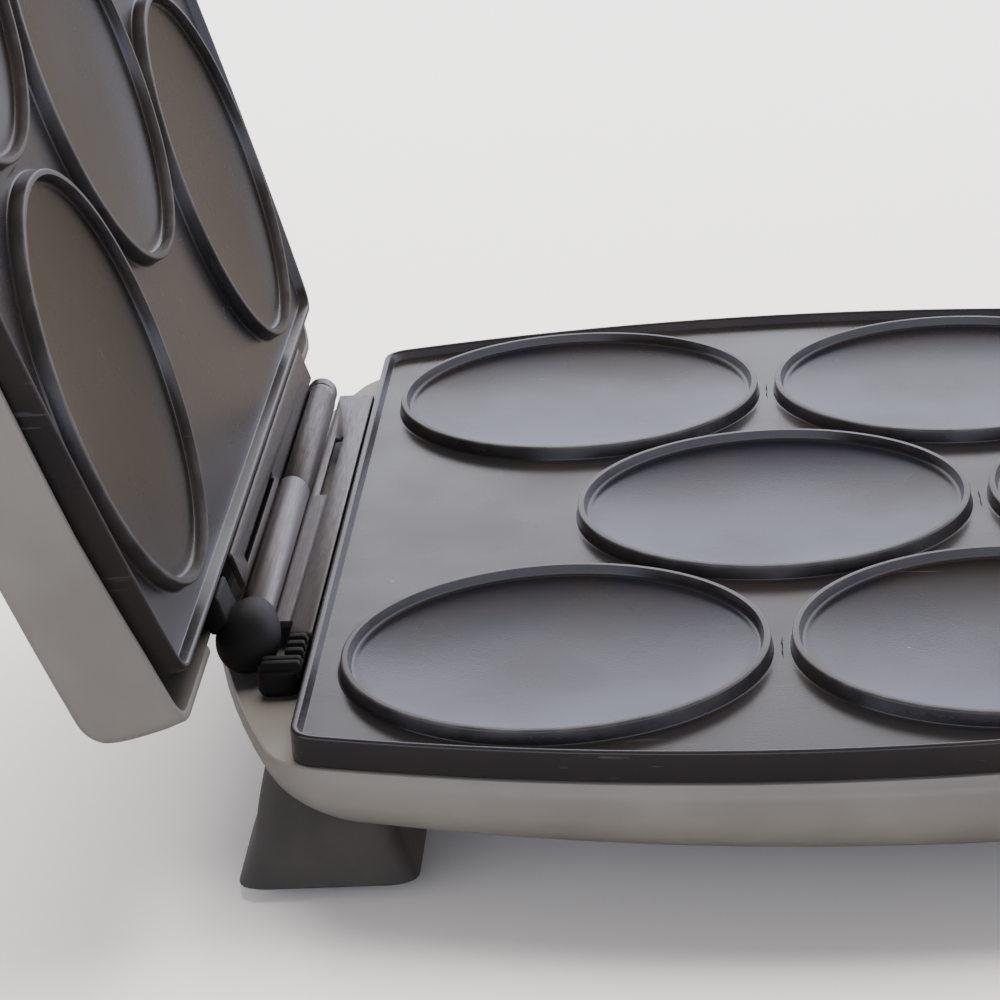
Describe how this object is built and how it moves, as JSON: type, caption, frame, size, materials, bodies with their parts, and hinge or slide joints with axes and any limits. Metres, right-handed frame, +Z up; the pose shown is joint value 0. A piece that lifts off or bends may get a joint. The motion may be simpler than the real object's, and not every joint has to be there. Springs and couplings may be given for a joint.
{
  "type": "mini pancake maker",
  "caption": "Hinged clamshell countertop appliance with two dark non-stick plates of round ringed pans, a front latch and flared feet.",
  "frame": {"origin": "centre of the footprint on the table, with the lid at its open stop", "axes": "+Z up, +Y towards the hinge at the back, handle faces -Y, +X to the right seen from the front"},
  "size_m": [0.2532, 0.3705, 0.3244],
  "materials": {
    "shell_plastic": "satin moulded",
    "nonstick_coating": "semi-gloss dark non-stick coating on cast aluminium",
    "hinge_steel": "satin",
    "black_plastic": "fine texture",
    "foot_plastic": "coarse texture",
    "rubber": "matte",
    "screw_steel": "bright zinc",
    "element_steel": "heat-dulled",
    "reflector_steel": "mill finish",
    "ceramic": "matte",
    "lens_red": "clear gloss",
    "lens_green": "clear gloss"
  },
  "bodies": {
    "base": {"base_shell": "shell_plastic", "base_cooking_plate": "nonstick_coating", "base_heating_element": "element_steel", "base_heat_reflector": "reflector_steel", "base_handle": "black_plastic", "base_hinge_leaf": "hinge_steel", "hinge_pin": "hinge_steel", "hinge_end_collar": "hinge_steel", "hinge_wire_guide": "black_plastic", "cord_inlet_gland": "black_plastic", "thermostat": "ceramic", "thermal_fuse": "ceramic", "terminal_block": "ceramic", "base_plate_screw_1": "screw_steel", "base_plate_screw_2": "screw_steel", "base_plate_screw_3": "screw_steel", "base_plate_screw_4": "screw_steel", "base_hinge_screw_1": "screw_steel", "base_hinge_screw_2": "screw_steel", "base_hinge_screw_3": "screw_steel", "foot_rear_left": "foot_plastic", "foot_pad_rear_left": "rubber", "foot_rear_right": "foot_plastic", "foot_pad_rear_right": "rubber", "foot_front_left": "foot_plastic", "foot_pad_front_left": "rubber", "foot_front_right": "foot_plastic", "foot_pad_front_right": "rubber"},
    "lid": {"lid_shell": "shell_plastic", "lid_cooking_plate": "nonstick_coating", "lid_heating_element": "element_steel", "lid_heat_reflector": "reflector_steel", "lid_handle": "black_plastic", "latch_pin": "screw_steel", "lid_hinge_leaf": "hinge_steel", "hinge_end_cap": "black_plastic", "lamp_board": "ceramic", "power_lamp_lens": "lens_red", "ready_lamp_lens": "lens_green", "lid_plate_screw_1": "screw_steel", "lid_plate_screw_2": "screw_steel", "lid_plate_screw_3": "screw_steel", "lid_plate_screw_4": "screw_steel", "lid_hinge_screw_1": "screw_steel", "lid_hinge_screw_2": "screw_steel", "lid_hinge_screw_3": "screw_steel"},
    "latch": {"handle_latch": "black_plastic"}
  },
  "joints": [
    {"name": "lid_hinge", "type": "hinge", "parent": "base", "child": "lid", "pos_m": [0, 0.08664, 0.0422], "axis": [1, 0, 0], "range_deg": [0, 107.4]},
    {"name": "latch_pivot", "type": "hinge", "parent": "lid", "child": "latch", "pos_m": [0, 0.1782, 0.29425], "axis": [1, 0, 0], "range_deg": [0, 25]}
  ]
}
